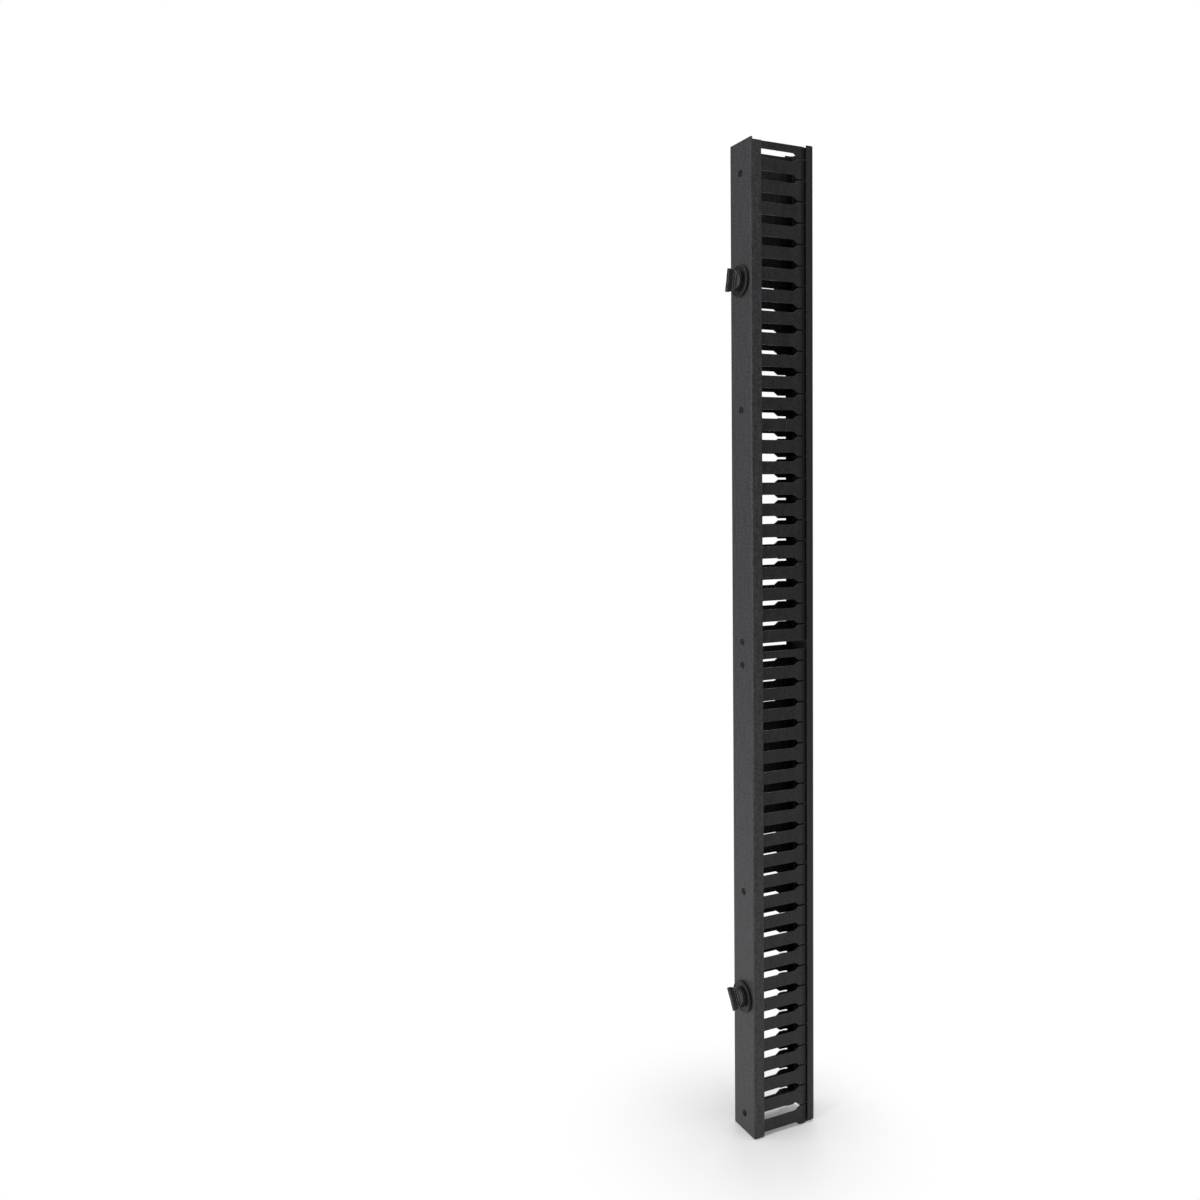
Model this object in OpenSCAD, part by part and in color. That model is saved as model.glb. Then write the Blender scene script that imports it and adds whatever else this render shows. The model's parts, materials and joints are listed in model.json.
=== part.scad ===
// Vertical cable manager for a server rack: a folded steel base plate, two moulded
// finger ducts end to end, one clip-on cover and two wing-knob clamps.
// X runs from the plate's outer face to the cover, Y from front to back, Z up.
// The origin is on the plate's outer face, on its centre line, at its lower end.

/* [Overall] */
// Front-to-back depth over the base plate's flanges
manager_depth = 80; // [74:1:100]
// From the base plate's outer face to the cover's outer face
manager_width = 160; // [145:1:200]

/* [Fingers] */
// Height of one rack unit, the pitch of the slots
slot_pitch = 44.45; // [42:0.05:48]
// Height of a slot between two fingers
slot_height = 18.5; // [16:0.5:20]
// Fingers on each side of one duct
finger_count = 24; // [8:1:24]
// Height of the narrow finger at the upper end of each duct
end_finger_height = 15.5; // [13:0.5:20]
// Gap between two finger heads
head_gap = 4; // [3:0.5:6]
// Length of a finger's straight head, up to its tip
head_length = 36; // [30:1:42]
// Length of the flare between a finger's blade and its head
flare_length = 10; // [6:1:14]
// Radius of the corners at a slot's root
root_r = 3; // [1:0.5:6]
// Wall thickness of the fingers
finger_t = 2.8; // [2.4:0.1:3.2]
// Thickness of the thinner finger tips under the cover
tip_t = 2.4; // [2:0.1:2.8]
// Thickness of the web that lies on the base plate
web_t = 2.5; // [2:0.1:4]
// How far the finger tips step inwards under the cover
tip_step = 3.2; // [3.1:0.1:4]

/* [Base plate] */
// Thickness of the sheet steel
sheet_t = 2; // [1.5:0.1:2.5]
// Outside radius of the bends
bend_r = 3.5; // [3:0.1:5]
// Width of the flanges that hold the ducts' walls
flange_w = 25; // [18:1:30]
// Length of the plate above the upper duct
top_overhang = 5; // [3:0.5:10]
// Length of the plate below the lower duct
bottom_overhang = 8; // [8:0.5:14]

/* [Cover] */
// Wall thickness of the cover
cover_t = 2.2; // [1.8:0.1:2.6]
// Outside radius of the cover's long corners
cover_r = 10; // [8:0.5:11]
// Length of the cover's lips, from its outer face
lip_length = 21; // [18:0.5:24]
// Length of the cover beyond the ducts at each end
cover_overhang = 4; // [2:0.5:7]
// Height of the snap beads on the lips and on the finger tips
bead_h = 0.6; // [0.4:0.05:0.7]

/* [Duct screws] */
// Diameter of the duct screws
screw_d = 6; // [5:0.5:6]
// Diameter of the screw heads
screw_head_d = 13.5; // [11:0.5:15]
// Height of the screw heads
screw_head_h = 3.2; // [2.5:0.1:4]
// Outside diameter of the washers inside the ducts
washer_d = 18; // [15:1:22]
// Thickness of the washers inside the ducts
washer_t = 1.6; // [1:0.1:2]
// Width across flats of the nuts
nut_flats = 10; // [9.5:0.5:11]
// Height of the nuts
nut_h = 5; // [4:0.5:6]
// Distance of the upper duct's top screw from that duct's upper end
upper_screw_inset = 60; // [40:1:80]
// Distance of the lower duct's top screw from that duct's upper end
lower_screw_inset = 31; // [24:1:45]
// Slot pitches from one duct screw to the next
screw_step = 11; // [5:1:11]

/* [Clamp knobs] */
// Height of the lower clamp above the plate's lower end
lower_clamp_z = 297; // [120:1:420]
// Distance between the two clamps
clamp_spacing = 1524; // [1200:1:1600]
// Thickness of the rack's sheet that the clamps grip
rack_sheet_t = 2; // [1:0.5:3]
// Diameter of the studs
stud_d = 8; // [6:1:10]
// Diameter of the clamp discs
disc_d = 66; // [54:1:72]
// Thickness of the clamp discs
disc_t = 4.5; // [4:0.5:6]
// Diameter of the knobs' hubs
hub_d = 42; // [38:1:46]
// Length of a knob's wing over its tips
wing_length = 48; // [44:1:54]
// Thickness of a knob's wing at its top
wing_t = 10; // [8:0.5:12]
// How far the wing stands above the hub's face
wing_rise = 12; // [9:0.5:16]
// Turn of the lower knob's wing from upright, in degrees
lower_wing_angle = 30; // [-90:1:90]
// Turn of the upper knob's wing from upright, in degrees
upper_wing_angle = -12; // [-90:1:90]

/* [Hidden] */

$fn = 64;
eps = 0.01;

// Clearances, each on one side
seat_gap = 0.2;      // ducts inside the plate's flanges, ducts end to end
run_gap = 0.05;      // bores on studs and screws
hole_gap = 0.3;      // clearance holes for screws
snap_gap = 0.2;      // between the beads of the lips and of the finger tips
tip_gap = 0.5;       // finger tips inside the cover's corner

// Heights along the plate
lower_z0 = bottom_overhang;
lower_l = end_finger_height + (finger_count - 1) * slot_pitch;
upper_z0 = lower_z0 + lower_l + seat_gap;
upper_l = slot_height - seat_gap + lower_l;
stack_top = upper_z0 + upper_l;
plate_l = stack_top + top_overhang;
cover_z0 = lower_z0 - cover_overhang;
cover_l = stack_top + cover_overhang - cover_z0;

// The ducts' section
half_depth = manager_depth / 2;
flange_chamfer = 3;
web_fillet = 4;
slope_shift = 0.5;
wall_y = half_depth - sheet_t - seat_gap;
tip_y = wall_y - tip_step;
web_x0 = sheet_t;
web_x1 = web_x0 + web_t;
slot_setback = 0.5;
slot_x0 = flange_w + slot_setback;

// The cover's section
cover_inner_y = tip_y + bead_h * 2 + snap_gap;
cover_outer_y = cover_inner_y + cover_t;
cover_inner_r = cover_r - cover_t;
lip_x0 = manager_width - lip_length;
corner_x = manager_width - cover_r;
corner_y = cover_outer_y - cover_r;
// The tips end where the cover's inner corner leaves them tip_gap
tip_rise = tip_y - corner_y;
tip_x = corner_x + sqrt(pow(cover_inner_r - tip_gap, 2) - pow(tip_rise, 2));
step_x1 = lip_x0;
slope_run = 3;
step_x0 = step_x1 - slope_run * tip_step;
lip_bead_x = lip_x0 + 2 * bead_h;
tip_bead_x = lip_bead_x + 4 * bead_h;
neck_x = tip_x - head_length;
flare_x = neck_x - flare_length;
head_flare = (slot_height - head_gap) / 2;

// The clamps, as distances from the plate's outer face
stud_head_d = stud_d * 1.5;
stud_head_t = sheet_t * 0.6;
pad_t = 2;
pad_sunk = 1;
pad_rim = 4;
pad_tuck = 5;
pad_outer_d = disc_d - 2 * pad_rim;
pad_inner_d = hub_d - 2 * pad_tuck;
disc_z = rack_sheet_t + pad_t - pad_sunk;
boss_d = hub_d * 0.6;
boss_rise = 1.5;
boss_z = disc_z + disc_t + boss_rise;
dish_gap = 4;
dish_t = 0.8;
slip_t = 0.8;
knob_z = boss_z + slip_t;
insert_d = stud_d + 5;
insert_l = stud_d * 1.5;
hub_h = insert_l + 1;
stud_l = knob_z + insert_l + 1;
knob_bore_l = insert_l + 2.5;
hub_round = 3;
wing_root_t = wing_t + 4;
wing_round = 4;
scoop_r = 11;
scoop_out = 3;
scoop_up = 4;
upper_clamp_z = lower_clamp_z + clamp_spacing;

// The duct screws
screw_l = web_x1 + washer_t + nut_h + 1.5;
recess_w = 1.5;
recess_l = screw_head_d * 0.5;
recess_t = screw_head_h * 0.6;
upper_screw_z = [for (i = [0 : 2]) stack_top - upper_screw_inset - i * screw_step * slot_pitch];
lower_screw_z = [for (i = [0 : 2]) lower_z0 + lower_l - lower_screw_inset - i * screw_step * slot_pitch];

// A rectangle, symmetric about the X axis, with rounded corners
module rounded_box_2d(x0, x1, half_y, r) {
    translate([x0, -half_y + r]) square([x1 - x0, 2 * (half_y - r)]);
    translate([x0 + r, -half_y]) square([x1 - x0 - 2 * r, 2 * half_y]);
    for (x = [x0 + r, x1 - r], y = [-half_y + r, half_y - r]) translate([x, y]) circle(r = r);
}

// Places its children with their Z axis pointing out of the plate's outer face
module outwards(z) {
    translate([0, 0, z]) rotate([0, -90, 0]) children();
}

// Places its children with their Z axis pointing into the duct
module inwards(x, z) {
    translate([x, 0, z]) rotate([0, 90, 0]) children();
}

// ---- Base plate ----

module plate_section() {
    difference() {
        rounded_box_2d(0, flange_w + bend_r, half_depth, bend_r);
        rounded_box_2d(sheet_t, flange_w + 2 * bend_r, half_depth - sheet_t, bend_r - sheet_t);
        translate([flange_w, -half_depth - 1]) square([3 * bend_r, manager_depth + 2]);
    }
}

// The flanges stop level with the duct at the top and have a cut corner at the bottom
module flange_cuts() {
    translate([bend_r, -half_depth - 1, stack_top]) cube([flange_w, manager_depth + 2, top_overhang + 1]);
    translate([flange_w, 0, 0]) rotate([0, 45, 0])
        cube([flange_chamfer * sqrt(2), manager_depth + 2, flange_chamfer * sqrt(2)], center = true);
}

module base_plate() {
    color("#3a3b3d")
    difference() {
        linear_extrude(height = plate_l) plate_section();
        flange_cuts();
        for (z = concat(upper_screw_z, lower_screw_z))
            inwards(-1, z) cylinder(d = screw_d + 2 * hole_gap, h = sheet_t + 2);
        for (z = [lower_clamp_z, upper_clamp_z]) {
            inwards(-1, z) cylinder(d = stud_d + 2 * run_gap, h = sheet_t + 2);
            inwards(sheet_t - stud_head_t, z) cylinder(d = stud_head_d + 2 * run_gap, h = sheet_t);
        }
    }
}

// ---- Finger ducts ----

// One wall of the duct in section: blade, inward step and thin tip with its snap bead
module wall_section() {
    chamfer = bend_r - sheet_t;
    polygon([
        [web_x0 + chamfer, -wall_y], [step_x0, -wall_y], [step_x1, -tip_y], [tip_x - tip_t / 2, -tip_y],
        [tip_x - tip_t / 2, -tip_y + tip_t], [step_x1 - slope_shift, -tip_y + tip_t],
        [step_x0 - slope_shift, -wall_y + finger_t], [web_x1 + web_fillet, -wall_y + finger_t],
        [web_x1, -wall_y + finger_t + web_fillet], [web_x0, -wall_y + finger_t + web_fillet],
        [web_x0, -wall_y + chamfer]
    ]);
    translate([tip_x - tip_t / 2, -tip_y + tip_t / 2]) circle(d = tip_t);
    translate([tip_bead_x, -tip_y + bead_h]) circle(r = 2 * bead_h);
}

module duct_section() {
    translate([web_x0, -wall_y + finger_t]) square([web_t, 2 * (wall_y - finger_t)]);
    wall_section();
    mirror([0, 1]) wall_section();
}

// A slot seen from the front, centred on y = 0: round root corners, blade gap, flare, neck
module slot_2d() {
    half = slot_height / 2;
    translate([slot_x0 + root_r, -half]) square([flare_x - slot_x0 - root_r, slot_height]);
    translate([slot_x0, -half + root_r]) square([root_r + eps, slot_height - 2 * root_r]);
    for (y = [-half + root_r, half - root_r]) translate([slot_x0 + root_r, y]) circle(r = root_r);
    polygon([[flare_x - eps, -half], [neck_x, -head_gap / 2], [tip_x + 1, -head_gap / 2],
             [tip_x + 1, head_gap / 2], [neck_x, head_gap / 2], [flare_x - eps, half]]);
}

module slot_cut(z) {
    translate([0, 0, z]) rotate([90, 0, 0])
        linear_extrude(height = manager_depth + 4, center = true) slot_2d();
}

// Centre of a duct's first slot below its narrow end finger
function first_slot(top) = top - end_finger_height - slot_height / 2;

module duct_holes(heights) {
    for (z = heights) inwards(web_x0 - 1, z) cylinder(d = screw_d + 2 * hole_gap, h = web_t + 3);
}

// Slots of one duct, from its upper end down
module duct_slots(top, count) {
    for (i = [0 : count - 1]) slot_cut(first_slot(top) - i * slot_pitch);
}

// The upper duct's last opening runs straight to the tips, and the lower duct's narrow
// finger bounds it from below
module upper_duct() {
    color("#26272a")
    difference() {
        translate([0, 0, upper_z0]) linear_extrude(height = upper_l) duct_section();
        duct_slots(stack_top, finger_count - 1);
        translate([slot_x0, -half_depth, upper_z0 - 1])
            cube([tip_x, manager_depth, slot_height - seat_gap + 1]);
        duct_holes(upper_screw_z);
    }
}

// The lower duct ends in a full finger whose head flares below its lower end
module lower_duct() {
    color("#26272a")
    difference() {
        translate([0, 0, lower_z0 - head_flare]) linear_extrude(height = lower_l + head_flare)
            duct_section();
        duct_slots(lower_z0 + lower_l, finger_count - 1);
        slot_cut(lower_z0 - slot_height / 2);
        translate([0, -half_depth, lower_z0 - slot_height])
            cube([slot_x0 + root_r + eps, manager_depth, slot_height]);
        duct_holes(lower_screw_z);
    }
}

// ---- Cover ----

module cover_section() {
    difference() {
        rounded_box_2d(lip_x0 - cover_r, manager_width, cover_outer_y, cover_r);
        rounded_box_2d(lip_x0 - 2 * cover_r, manager_width - cover_t, cover_inner_y, cover_inner_r);
        translate([lip_x0 - 2 * cover_r, -half_depth]) square([2 * cover_r, manager_depth]);
    }
    // Snap beads inside the free edges of the lips
    for (s = [-1, 1]) intersection() {
        translate([lip_bead_x, s * (cover_inner_y + bead_h)]) circle(r = 2 * bead_h);
        translate([lip_x0, -half_depth]) square([6 * bead_h, manager_depth]);
    }
}

module cover() {
    color("#303133")
    translate([0, 0, cover_z0]) linear_extrude(height = cover_l) cover_section();
}

// ---- Duct screws, washers and nuts ----

module truss_screw() {
    difference() {
        union() {
            rotate_extrude() {
                intersection() {
                    translate([0, -screw_head_d + screw_head_h]) circle(r = screw_head_d);
                    square([screw_head_d / 2, screw_head_h]);
                }
            }
            translate([0, 0, -screw_l]) cylinder(d = screw_d, h = screw_l + eps);
        }
        for (a = [0, 90]) rotate([0, 0, a])
            translate([-recess_l / 2, -recess_w / 2, screw_head_h - recess_t])
                cube([recess_l, recess_w, recess_t + 1]);
    }
}

module duct_screws(heights) {
    color("#141416")
    for (z = heights) outwards(z) truss_screw();
}

module duct_washers(heights) {
    color("#8d8f92")
    for (z = heights) inwards(web_x1, z) difference() {
        cylinder(d = washer_d, h = washer_t);
        translate([0, 0, -1]) cylinder(d = screw_d + 2 * hole_gap, h = washer_t + 2);
    }
}

module duct_nuts(heights) {
    color("#9a9ca0")
    for (z = heights) inwards(web_x1 + washer_t, z) difference() {
        cylinder(d = nut_flats / cos(30), h = nut_h, $fn = 6);
        translate([0, 0, -1]) cylinder(d = screw_d + 2 * run_gap, h = nut_h + 2);
    }
}

module upper_duct_screws() { duct_screws(upper_screw_z); }
module upper_duct_washers() { duct_washers(upper_screw_z); }
module upper_duct_nuts() { duct_nuts(upper_screw_z); }
module lower_duct_screws() { duct_screws(lower_screw_z); }
module lower_duct_washers() { duct_washers(lower_screw_z); }
module lower_duct_nuts() { duct_nuts(lower_screw_z); }

// ---- Clamps: each is built round the local Z axis, which points away from the plate ----

// Stud pressed into the plate, its head flush with the plate's inner face
module stud() {
    color("#a4a6aa") {
        translate([0, 0, -sheet_t]) cylinder(d = stud_head_d, h = stud_head_t);
        translate([0, 0, -sheet_t]) cylinder(d = stud_d, h = stud_l + sheet_t - 1);
        translate([0, 0, stud_l - 1]) cylinder(d1 = stud_d, d2 = stud_d - 2, h = 1);
    }
}

// Rubber ring sunk into the disc's face, which bears on the rack's sheet
module clamp_pad() {
    color("#1b1b1c")
    translate([0, 0, rack_sheet_t]) difference() {
        cylinder(d = pad_outer_d, h = pad_t);
        translate([0, 0, -1]) cylinder(d = pad_inner_d, h = pad_t + 2);
    }
}

// Disc in half section: flat face with the pad's groove, round rim, dished top and centre boss
module disc_section() {
    rim = disc_t / 2;
    difference() {
        union() {
            square([disc_d / 2 - rim, disc_t]);
            translate([disc_d / 2 - rim, rim]) circle(r = rim);
            square([boss_d / 2, boss_z - disc_z]);
        }
        translate([pad_inner_d / 2, -1]) square([(pad_outer_d - pad_inner_d) / 2, pad_sunk + 1]);
        translate([-1, -1]) square([1 + stud_d / 2 + run_gap, boss_z]);
        translate([boss_d / 2 + dish_gap, disc_t - dish_t])
            square([(disc_d - boss_d) / 2 - dish_gap - disc_t, 2]);
    }
}

module clamp_disc() {
    color("#18181a")
    translate([0, 0, disc_z]) rotate_extrude() disc_section();
}

module slip_washer() {
    color("#d8d6cc")
    translate([0, 0, boss_z]) difference() {
        cylinder(d = boss_d - 2, h = slip_t);
        translate([0, 0, -1]) cylinder(d = stud_d + 2 * run_gap, h = slip_t + 2);
    }
}

module knob_insert() {
    color("#b08d4a")
    translate([0, 0, knob_z]) difference() {
        cylinder(d = insert_d, h = insert_l);
        translate([0, 0, -1]) cylinder(d = stud_d + 2 * run_gap, h = insert_l + 2);
    }
}

// The wing from its long side: flared ends with round corners
module wing_side_2d() {
    top = hub_h + wing_rise;
    half = wing_length / 2;
    polygon([[-half * 0.72, 0], [half * 0.72, 0], [half - 2, top * 0.6], [half, top - wing_round],
             [half - wing_round, top], [0, top - 2], [-half + wing_round, top],
             [-half, top - wing_round], [-half + 2, top * 0.6]]);
    for (s = [-1, 1]) translate([s * (half - wing_round), top - wing_round]) circle(r = wing_round);
}

// The wing from its end: thicker at the hub, round along its top
module wing_end_2d() {
    top = hub_h + wing_rise;
    polygon([[-wing_root_t / 2, 0], [wing_root_t / 2, 0], [wing_t / 2, top - wing_t / 2],
             [-wing_t / 2, top - wing_t / 2]]);
    translate([0, top - wing_t / 2]) circle(d = wing_t);
}

module wing() {
    intersection() {
        rotate([90, 0, 0]) linear_extrude(height = wing_root_t + 2, center = true) wing_side_2d();
        rotate([90, 0, 90]) linear_extrude(height = wing_length + 2, center = true) wing_end_2d();
    }
}

module hub_section() {
    square([hub_d / 2, hub_h - hub_round]);
    square([hub_d / 2 - hub_round, hub_h]);
    translate([hub_d / 2 - hub_round, hub_h - hub_round]) circle(r = hub_round);
}

// Hub and wing in one moulding, with finger scoops beside the wing
module knob(angle) {
    color("#1f2022")
    translate([0, 0, knob_z]) rotate([0, 0, angle]) difference() {
        union() {
            rotate_extrude() hub_section();
            wing();
        }
        for (s = [-1, 1]) translate([0, s * (hub_d / 2 + scoop_out), hub_h + scoop_up])
            rotate([0, 90, 0]) cylinder(r = scoop_r, h = wing_length, center = true);
        translate([0, 0, -1]) cylinder(d = insert_d, h = insert_l + 1);
        cylinder(d = stud_d + 2 * hole_gap, h = knob_bore_l);
    }
}

module upper_stud() { outwards(upper_clamp_z) stud(); }
module upper_clamp_pad() { outwards(upper_clamp_z) clamp_pad(); }
module upper_clamp_disc() { outwards(upper_clamp_z) clamp_disc(); }
module upper_slip_washer() { outwards(upper_clamp_z) slip_washer(); }
module upper_knob_insert() { outwards(upper_clamp_z) knob_insert(); }
module upper_knob() { outwards(upper_clamp_z) knob(upper_wing_angle); }
module lower_stud() { outwards(lower_clamp_z) stud(); }
module lower_clamp_pad() { outwards(lower_clamp_z) clamp_pad(); }
module lower_clamp_disc() { outwards(lower_clamp_z) clamp_disc(); }
module lower_slip_washer() { outwards(lower_clamp_z) slip_washer(); }
module lower_knob_insert() { outwards(lower_clamp_z) knob_insert(); }
module lower_knob() { outwards(lower_clamp_z) knob(lower_wing_angle); }

base_plate();
upper_duct();
lower_duct();
cover();
upper_duct_screws();
upper_duct_washers();
upper_duct_nuts();
lower_duct_screws();
lower_duct_washers();
lower_duct_nuts();
upper_stud();
upper_clamp_pad();
upper_clamp_disc();
upper_slip_washer();
upper_knob_insert();
upper_knob();
lower_stud();
lower_clamp_pad();
lower_clamp_disc();
lower_slip_washer();
lower_knob_insert();
lower_knob();
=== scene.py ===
# %% [markdown]
# # A vertical cable manager, dressed for its portrait
# The part is a folded steel plate that carries two finger ducts, a clip-on cover and two
# wing-knob clamps. Its solids stay where the frame puts them. This lesson gives every solid
# a procedural surface, sets the studio round it and aims the camera.
#
# The frame is in metres: +X runs from the plate to the cover, +Y from front to back, +Z up.

# %% Load the frame
import json
import math

import bpy
from mathutils import Euler, Matrix, Vector


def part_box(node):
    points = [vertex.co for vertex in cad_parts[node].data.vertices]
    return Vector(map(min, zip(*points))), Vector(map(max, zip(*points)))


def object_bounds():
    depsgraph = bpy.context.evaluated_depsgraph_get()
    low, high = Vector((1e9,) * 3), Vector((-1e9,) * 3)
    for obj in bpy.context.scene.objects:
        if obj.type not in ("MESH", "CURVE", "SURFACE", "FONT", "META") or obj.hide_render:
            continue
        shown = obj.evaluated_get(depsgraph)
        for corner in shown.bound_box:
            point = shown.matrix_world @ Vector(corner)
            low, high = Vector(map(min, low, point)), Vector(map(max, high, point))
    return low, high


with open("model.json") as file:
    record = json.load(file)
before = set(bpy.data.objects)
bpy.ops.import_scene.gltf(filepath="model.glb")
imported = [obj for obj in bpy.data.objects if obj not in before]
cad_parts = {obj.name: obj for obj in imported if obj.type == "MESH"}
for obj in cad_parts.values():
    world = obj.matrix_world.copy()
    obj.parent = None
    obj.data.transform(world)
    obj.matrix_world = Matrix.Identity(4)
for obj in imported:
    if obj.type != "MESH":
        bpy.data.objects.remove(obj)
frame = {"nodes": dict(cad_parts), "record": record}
nodes = frame["nodes"]
cad_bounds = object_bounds()
low, high = (Vector(corner) for corner in cad_bounds)
print(len(nodes), "nodes, height", round(high.z - low.z, 3), "m")

# %% [markdown]
# ## Small helpers for shader trees
# `add` makes one node, sets its options and fills its inputs with values or links. `group`
# makes a reusable node group with typed sockets, and `use` places such a group in a
# material. `mix_colour` blends towards a fixed colour.

# %% Shader helpers
def fill(tree, node, inputs):
    """Inputs of a node set to values or linked to sockets."""
    for key, value in inputs.items():
        if isinstance(value, bpy.types.NodeSocket):
            tree.links.new(value, node.inputs[key])
        else:
            node.inputs[key].default_value = value


def add(tree, kind, options=None, inputs=None):
    """One shader node, with its options set and its inputs filled or linked."""
    node = tree.nodes.new("ShaderNode" + kind)
    for key, value in (options or {}).items():
        setattr(node, key, value)
    fill(tree, node, inputs or {})
    return node


def math_node(tree, operation, first, second=0.0, clamp=False):
    """A Math node's output."""
    options = {"operation": operation, "use_clamp": clamp}
    return add(tree, "Math", options, {0: first, 1: second}).outputs[0]


def mix_colour(tree, factor, under, colour):
    """A colour or socket blended towards a fixed colour."""
    inputs = {0: factor, 6: under, 7: (*colour, 1.0)}
    return add(tree, "Mix", {"data_type": "RGBA"}, inputs).outputs[2]


FLOAT, COLOUR, VECTOR = "NodeSocketFloat", "NodeSocketColor", "NodeSocketVector"


def group(name, inputs, outputs):
    """An empty node group with its sockets, and the sockets to build between."""
    tree = bpy.data.node_groups.new(name, "ShaderNodeTree")
    for label, kind, value in inputs:
        socket = tree.interface.new_socket(name=label, in_out="INPUT", socket_type=kind)
        if value is not None:
            socket.default_value = value
    for label, kind in outputs:
        tree.interface.new_socket(name=label, in_out="OUTPUT", socket_type=kind)
    enter = tree.nodes.new("NodeGroupInput")
    leave = tree.nodes.new("NodeGroupOutput")
    return tree, enter.outputs, leave.inputs


def use(tree, shared, inputs):
    """A shared group placed in a material's tree."""
    node = tree.nodes.new("ShaderNodeGroup")
    node.node_tree = shared
    fill(tree, node, inputs)
    return node.outputs


# %% [markdown]
# ## Effects that several materials share
# *Streaks* are the faint lines that rolling, extruding and brushing leave along the part.
# *Grain* is the fine relief of powder coat and moulded plastic. *Edges* finds the rims
# of a surface: their colour stands for wear where handling polishes or chips it, and on the
# duct fingers and the knob it is a painted highlight. *Dust* settles on faces that look upwards.

# %% Shared group: streaks
streaks, enter, leave = group(
    "streaks", [("Scale", FLOAT, 260.0), ("Stretch", FLOAT, 0.02), ("Mottle", FLOAT, 0.45)],
    [("Value", FLOAT)])
place = add(streaks, "TexCoord").outputs["Object"]
stretch = add(streaks, "CombineXYZ", inputs={"X": 1.0, "Y": 1.0, "Z": enter["Stretch"]})
long_place = add(streaks, "VectorMath", {"operation": "MULTIPLY"}, {
    0: place, 1: stretch.outputs[0]})
fibres = add(streaks, "TexNoise", inputs={
    "Vector": long_place.outputs[0], "Scale": enter["Scale"], "Detail": 4.0, "Roughness": 0.6})
clouds = add(streaks, "TexNoise", inputs={
    "Vector": place, "Scale": 210.0, "Detail": 6.0, "Roughness": 0.7})
blend = add(streaks, "Mix", {"data_type": "FLOAT"},
            {0: enter["Mottle"], 2: fibres.outputs["Fac"], 3: clouds.outputs["Fac"]})
streaks.links.new(blend.outputs[0], leave["Value"])
print("group", streaks.name)

# %% Shared group: grain
COARSE_SCALE, COARSE_SHARE = 0.21, 0.45
grain, enter, leave = group(
    "grain", [("Scale", FLOAT, 1400.0), ("Depth", FLOAT, 0.00004), ("Normal", VECTOR, None)],
    [("Normal", VECTOR), ("Height", FLOAT)])
place = add(grain, "TexCoord").outputs["Object"]
fine = add(grain, "TexNoise", inputs={
    "Vector": place, "Scale": enter["Scale"], "Detail": 3.0, "Roughness": 0.55})
coarse_scale = math_node(grain, "MULTIPLY", enter["Scale"], COARSE_SCALE)
coarse = add(grain, "TexVoronoi", {"feature": "SMOOTH_F1"}, {
    "Vector": place, "Scale": coarse_scale})
relief = math_node(grain, "ADD", fine.outputs["Fac"],
                   math_node(grain, "MULTIPLY", coarse.outputs["Distance"], COARSE_SHARE))
bump = add(grain, "Bump", inputs={
    "Distance": enter["Depth"], "Height": relief, "Normal": enter["Normal"]})
grain.links.new(bump.outputs[0], leave["Normal"])
grain.links.new(relief, leave["Height"])
print("group", grain.name)

# %% Shared group: edges
edges, enter, leave = group(
    "edges", [("Radius", FLOAT, 0.0006), ("Gain", FLOAT, 5.0)],
    [("Mask", FLOAT), ("Normal", VECTOR)])
rounded = add(edges, "Bevel", {"samples": 6}, {"Radius": enter["Radius"]})
true_normal = add(edges, "NewGeometry").outputs["Normal"]
agree = add(edges, "VectorMath", {"operation": "DOT_PRODUCT"}, {
    0: rounded.outputs[0], 1: true_normal})
bend = math_node(edges, "SUBTRACT", 1.0, agree.outputs["Value"])
place = add(edges, "TexCoord").outputs["Object"]
patches = add(edges, "TexNoise", inputs={"Vector": place, "Scale": 70.0, "Detail": 5.0})
# Rim mask: wear on most surfaces, a painted highlight on the duct's and the knob's edges
boosted_bend = math_node(edges, "MULTIPLY", bend, enter["Gain"])
rim_wear_and_highlight_mask = math_node(edges, "MULTIPLY", boosted_bend, patches.outputs["Fac"], clamp=True)
edges.links.new(rim_wear_and_highlight_mask, leave["Mask"])
edges.links.new(rounded.outputs[0], leave["Normal"])
print("group", edges.name)

# %% Shared group: dust
dust, enter, leave = group("dust", [("Amount", FLOAT, 0.2)], [("Mask", FLOAT)])
facing = add(dust, "SeparateXYZ", inputs={0: add(dust, "NewGeometry").outputs["Normal"]})
upwards = math_node(dust, "POWER", math_node(dust, "MAXIMUM", facing.outputs["Z"], 0.0), 2.0)
place = add(dust, "TexCoord").outputs["Object"]
specks = add(dust, "TexNoise", inputs={"Vector": place, "Scale": 180.0, "Detail": 6.0})
settled = math_node(dust, "MULTIPLY", upwards, specks.outputs["Fac"])
dust.links.new(math_node(dust, "MULTIPLY", settled, enter["Amount"], clamp=True), leave["Mask"])
print("group", dust.name)


# %% [markdown]
# ## One recipe for every surface
# A surface has a base colour and a second tone that the streaks bring out, a rim colour
# for its edges, a relief, and a roughness that varies with the streaks. The rim colour
# stands for wear on most surfaces and is a painted highlight on the duct fingers and the
# knob. Between two places across the part the colour turns near-black as painted shade:
# the finger tips get it where they run in under the cover's lip.

# %% The recipe
# The near-black tone on this line is painted shade for the finger tips under the cover's lip
DUST_TONE, PAINTED_SHADE_TONE = (0.42, 0.40, 0.37), (0.0030, 0.0030, 0.0034)
DUST_DULLS = 0.4
ROUGHNESS_SPREAD, SHINE = 0.12, 0.3


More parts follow.
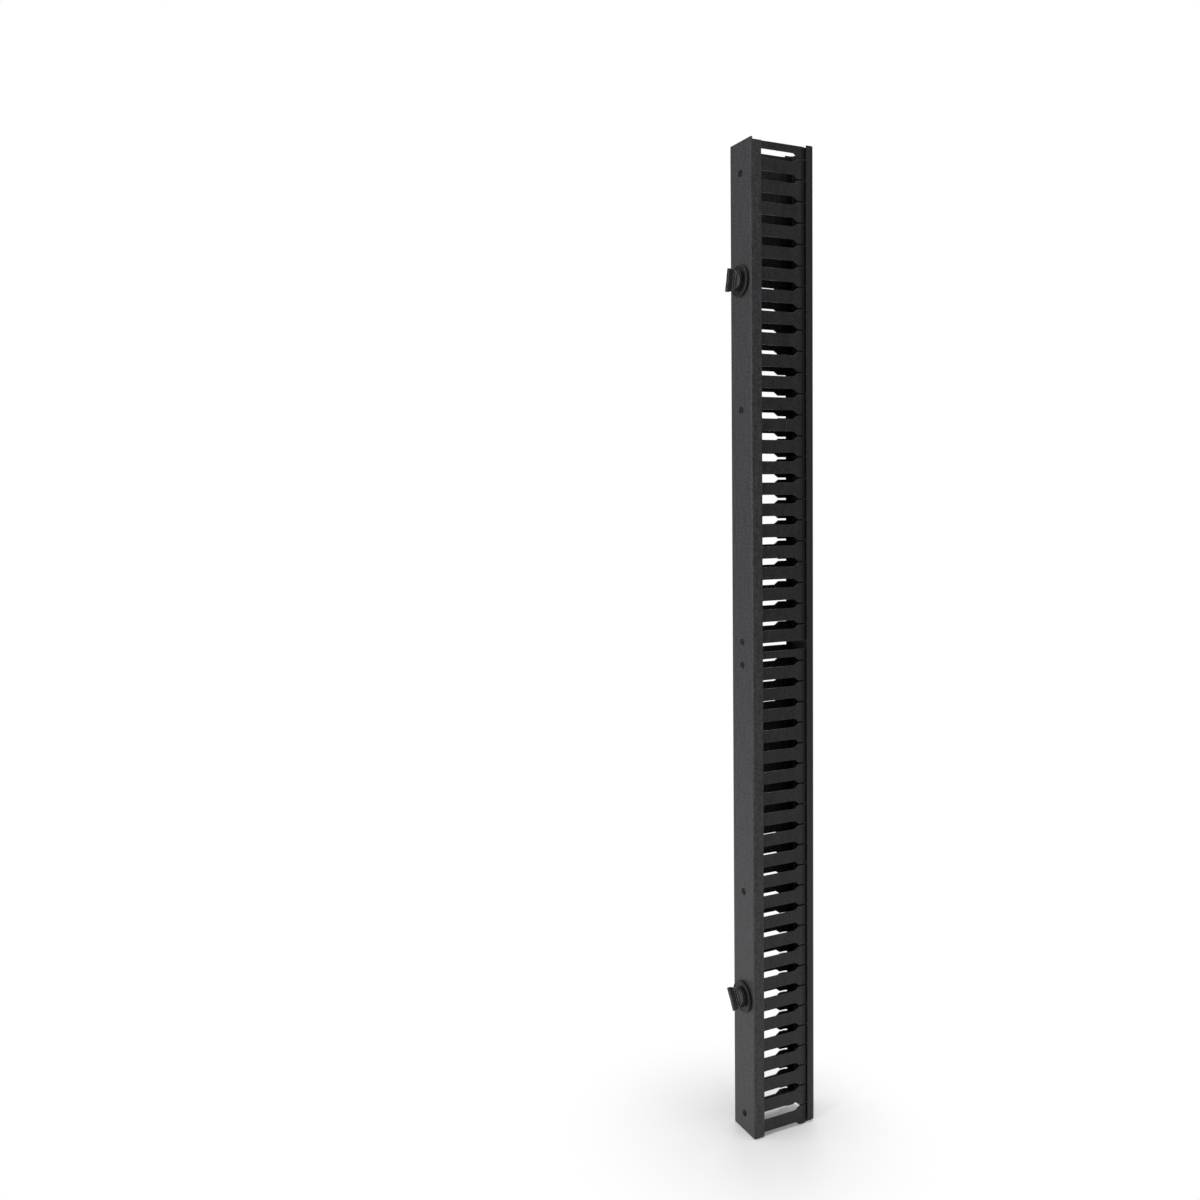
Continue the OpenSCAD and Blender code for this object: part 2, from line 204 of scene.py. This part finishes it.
def surface(name, base, tone, rim, rough, metallic=0.0, grain_scale=1400.0, depth=0.00003,
            streak_scale=260.0, stretch=0.02, rim_gain=5.0, rim_radius=0.0006, dusty=0.15,
            mottle=0.45, painted_shade_span=None):
    """A procedural material from the four shared groups."""
    material = bpy.data.materials.new(name)
    material.use_nodes = True
    tree = material.node_tree
    shader = tree.nodes["Principled BSDF"]
    lines = use(tree, streaks, {
        "Scale": streak_scale, "Stretch": stretch, "Mottle": mottle})["Value"]
    rims = use(tree, edges, {"Radius": rim_radius, "Gain": rim_gain})
    relief = use(tree, grain, {"Scale": grain_scale, "Depth": depth, "Normal": rims["Normal"]})
    settled = use(tree, dust, {"Amount": dusty})["Mask"]

    spread_lines = add(tree, "MapRange", inputs={
        "Value": lines, "From Min": 0.42, "From Max": 0.58, "To Min": 0.0, "To Max": 1.0})
    colour = mix_colour(tree, spread_lines.outputs[0], (*base, 1.0), tone)
    # Painted shade: across the given span on X the colour turns near-black
    if painted_shade_span:
        across = add(tree, "SeparateXYZ", inputs={0: add(tree, "TexCoord").outputs["Object"]})
        painted_darkening = add(tree, "MapRange", {"interpolation_type": "SMOOTHSTEP"}, {
            "Value": across.outputs["X"], "From Min": painted_shade_span[0], "From Max": painted_shade_span[1]})
        colour = mix_colour(tree, painted_darkening.outputs[0], colour, PAINTED_SHADE_TONE)
    # Rim colour blended in: wear on most surfaces, a painted highlight on the duct and the knob
    colour = mix_colour(tree, rims["Mask"], colour, rim)
    colour = mix_colour(tree, settled, colour, DUST_TONE)
    tree.links.new(colour, shader.inputs["Base Color"])

    polish = add(tree, "MapRange", inputs={
        "Value": lines, "From Min": 0.3, "From Max": 0.7,
        "To Min": rough - ROUGHNESS_SPREAD / 2, "To Max": rough + ROUGHNESS_SPREAD / 2})
    dusty_dulling = math_node(tree, "MULTIPLY", settled, DUST_DULLS)
    dull = math_node(tree, "ADD", polish.outputs[0], dusty_dulling, clamp=True)
    tree.links.new(dull, shader.inputs["Roughness"])
    tree.links.new(relief["Normal"], shader.inputs["Normal"])
    shader.inputs["Metallic"].default_value = metallic
    shader.inputs["Specular IOR Level"].default_value = SHINE
    return material


# %% The ten surfaces, one for each material slot
# Each row gives the base colour, the tone of its streaks, the colour of its rims (wear, and
# for the duct and the knob a painted highlight) and the roughness, and then what differs from
# the recipe's defaults
# The finger tips are darkened as painted shade from 16 mm before the cover's lip, fully from 10 mm
# before it
LIP_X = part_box("cover")[0].x
BEFORE_LIP = (0.016, 0.010)
TIP_SHADE_SPAN = tuple(LIP_X - before for before in BEFORE_LIP)
surfaces = {
    "plate_paint": surface(
        "plate_paint", (0.022, 0.0225, 0.0242), (0.052, 0.0525, 0.0560),
        (0.100, 0.101, 0.106), 0.46,
        grain_scale=1100.0, depth=0.00005, streak_scale=260.0, stretch=0.06,
        rim_radius=0.0009, mottle=0.72),
    # Its bright rim colour is a painted highlight along the finger edges
    "duct_plastic": surface(
        "duct_plastic", (0.010, 0.0102, 0.0113), (0.027, 0.0275, 0.0301),
        (0.095, 0.096, 0.101), 0.50,
        grain_scale=1900.0, depth=0.00003, streak_scale=90.0, stretch=0.3, rim_radius=0.0008,
        rim_gain=9.0, mottle=0.72, painted_shade_span=TIP_SHADE_SPAN),
    "cover_plastic": surface(
        "cover_plastic", (0.015, 0.0153, 0.0167), (0.029, 0.0295, 0.0317),
        (0.060, 0.061, 0.065), 0.42,
        grain_scale=1600.0, depth=0.00002, streak_scale=420.0, stretch=0.004),
    "black_screws": surface(
        "black_screws", (0.010, 0.010, 0.011), (0.018, 0.018, 0.020), (0.110, 0.105, 0.100), 0.36,
        metallic=0.75, grain_scale=2600.0, depth=0.00001, rim_radius=0.0003, rim_gain=7.0),
    "zinc": surface(
        "zinc", (0.52, 0.53, 0.55), (0.62, 0.63, 0.65), (0.75, 0.75, 0.76), 0.34,
        metallic=1.0, grain_scale=2400.0, depth=0.00001, streak_scale=600.0, rim_radius=0.0003),
    "pad_rubber": surface(
        "pad_rubber", (0.012, 0.012, 0.0125), (0.018, 0.018, 0.0185), (0.040, 0.040, 0.040), 0.82,
        grain_scale=1300.0, depth=0.00006, dusty=0.3),
    "disc_plastic": surface(
        "disc_plastic", (0.006, 0.006, 0.0067), (0.010, 0.010, 0.0112), (0.070, 0.071, 0.074), 0.42,
        grain_scale=1800.0, depth=0.00003, streak_scale=120.0, stretch=1.0, rim_radius=0.0008),
    "nylon": surface(
        "nylon", (0.66, 0.65, 0.60), (0.74, 0.73, 0.69), (0.82, 0.81, 0.77), 0.40,
        grain_scale=1500.0, depth=0.00002, stretch=1.0),
    "brass": surface(
        "brass", (0.58, 0.41, 0.17), (0.68, 0.50, 0.24), (0.84, 0.68, 0.40), 0.28,
        metallic=1.0, grain_scale=2600.0, depth=0.00001, streak_scale=700.0, rim_radius=0.0003),
    # Its bright rim colour is a painted highlight along the knob's edges
    "knob_plastic": surface(
        "knob_plastic", (0.009, 0.009, 0.010), (0.016, 0.016, 0.018), (0.340, 0.340, 0.350), 0.40,
        grain_scale=1700.0, depth=0.00003, streak_scale=110.0, stretch=1.0, rim_radius=0.0012,
        rim_gain=8.0),
}
print(len(surfaces), "surfaces")

# %% [markdown]
# ## Dress the solids
# Round forms are shaded smooth, and edges sharper than thirty degrees stay crisp. Each
# solid takes the surface of the slot that its record names.

# %% Dress the solids
SMOOTH_ANGLE = math.radians(30)
for row in frame["record"]["subparts"]:
    solid = nodes[row["node"]]
    solid.data.shade_smooth()
    solid.data.set_sharp_from_angle(angle=SMOOTH_ANGLE)
    solid.data.materials.clear()
    solid.data.materials.append(surfaces[row["material_slot"]])
print("dressed", ", ".join(sorted(nodes)))

# %% [markdown]
# ## The studio
# A pale floor under the part, a white surround for the camera, a large key light and a
# narrow front light that favour the knob face, and weaker lights from above and behind.

# %% Floor
FLOOR_HALF, FLOOR_GAP = 9.0, 0.002
FADE_FROM, FADE_TO = 0.05, 0.42
FLOOR_GLOW = 0.14
WHITE = (1.0, 1.0, 1.0, 1.0)
floor_z = low.z - FLOOR_GAP
floor_mesh = bpy.data.meshes.new("floor")
floor_mesh.from_pydata(
    [(-FLOOR_HALF, -FLOOR_HALF, floor_z), (FLOOR_HALF, -FLOOR_HALF, floor_z),
     (FLOOR_HALF, FLOOR_HALF, floor_z), (-FLOOR_HALF, FLOOR_HALF, floor_z)], [], [(0, 1, 2, 3)])
floor = bpy.data.objects.new("floor", floor_mesh)
bpy.context.scene.collection.objects.link(floor)
floor_paint = bpy.data.materials.new("floor_paint")
floor_paint.use_nodes = True
floor_tree = floor_paint.node_tree
floor_shader = floor_tree.nodes["Principled BSDF"]
wash = add(floor_tree, "TexNoise", inputs={
    "Vector": add(floor_tree, "TexCoord").outputs["Object"], "Scale": 3.0, "Detail": 2.0})
floor_tone = mix_colour(
    floor_tree, wash.outputs["Fac"], (0.90, 0.90, 0.90, 1.0), (0.93, 0.93, 0.93))
fill(floor_tree, floor_shader, {
    "Base Color": floor_tone, "Roughness": 0.9, "Specular IOR Level": 0.1,
    "Emission Color": WHITE, "Emission Strength": FLOOR_GLOW})
# Away from the part the floor meets the white surround without an edge
from_part = add(floor_tree, "VectorMath", {"operation": "LENGTH"}, {
    0: add(floor_tree, "TexCoord").outputs["Object"]})
fade = add(floor_tree, "MapRange", {"interpolation_type": "SMOOTHSTEP"}, {
    "Value": from_part.outputs["Value"], "From Min": FADE_FROM, "From Max": FADE_TO})
seen = add(floor_tree, "LightPath").outputs["Is Camera Ray"]
share = math_node(floor_tree, "MULTIPLY", fade.outputs[0], seen)
paper = add(floor_tree, "Emission", inputs={"Color": WHITE, "Strength": 1.0})
meet = add(floor_tree, "MixShader", inputs={
    0: share, 1: floor_shader.outputs[0], 2: paper.outputs[0]})
floor_out = floor_tree.nodes["Material Output"]
floor_tree.links.new(meet.outputs[0], floor_out.inputs["Surface"])
floor_mesh.materials.append(floor_paint)
print("floor at", round(floor_z, 3), "m")

# %% World
AMBIENT = 0.26
world = bpy.data.worlds.new("studio")
bpy.context.scene.world = world
world.use_nodes = True
sky = world.node_tree
sky.nodes.clear()
ray = add(sky, "LightPath")
white = add(sky, "Background", inputs={"Color": WHITE, "Strength": 1.0})
soft = add(sky, "Background", inputs={"Color": WHITE, "Strength": AMBIENT})
choice = add(sky, "MixShader", inputs={
    0: ray.outputs["Is Camera Ray"], 1: soft.outputs[0], 2: white.outputs[0]})
add(sky, "OutputWorld", inputs={"Surface": choice.outputs[0]})
print("ambient", AMBIENT)

# %% Lights
LIGHTS = {
    # name: place, aimed at, width, height, watts
    "key": ((-3.0, 0.9, 1.7), (0.0, 0.0, 1.05), 1.8, 2.8, 34.0),
    "front": ((-3.5, -1.05, 1.4), (0.08, 0.0, 1.0), 0.5, 2.6, 46.0),
    "top": ((0.1, -0.5, 4.2), (0.1, 0.0, 1.0), 2.0, 2.0, 60.0),
    "back": ((1.8, 2.6, 2.0), (0.1, 0.0, 1.0), 1.6, 2.4, 22.0),
}
for name, (place, target, width, height, watts) in LIGHTS.items():
    lamp = bpy.data.lights.new(name, "AREA")
    lamp.shape = "RECTANGLE"
    lamp.size, lamp.size_y = width, height
    lamp.energy = watts
    lamp_object = bpy.data.objects.new(name, lamp)
    lamp_object.location = place
    beam = Vector(target) - Vector(place)
    lamp_object.rotation_euler = beam.to_track_quat("-Z", "Y").to_euler()
    bpy.context.scene.collection.objects.link(lamp_object)
print(len(LIGHTS), "lights")

# %% [markdown]
# ## The camera
# A wide lens to the left of the part and in front of it, a little above its middle, turned
# and tipped by the three angles. A small shift moves the picture without turning the camera.

# %% Camera
EYE = (-1.2360, -1.9060, 1.3794)
TURN, PITCH, ROLL = 25.384, 2.871, -0.640
LENS, SENSOR, SHIFT_Y = 32.04, 36.0, -0.0429
NEAR = 0.05
lens = bpy.data.cameras.new("camera")
lens.lens = LENS
lens.sensor_width = SENSOR
lens.shift_y = SHIFT_Y
lens.clip_start = NEAR
camera = bpy.data.objects.new("camera", lens)
aim = Euler((math.radians(90 - PITCH), 0.0, math.radians(-TURN))).to_matrix()
aim = aim @ Matrix.Rotation(math.radians(ROLL), 3, "Z")
camera.matrix_world = Matrix.Translation(EYE) @ aim.to_4x4()
bpy.context.scene.collection.objects.link(camera)
bpy.context.scene.camera = camera
print("camera", LENS, "mm")

# %% View settings
bpy.context.scene.view_settings.view_transform = "Standard"
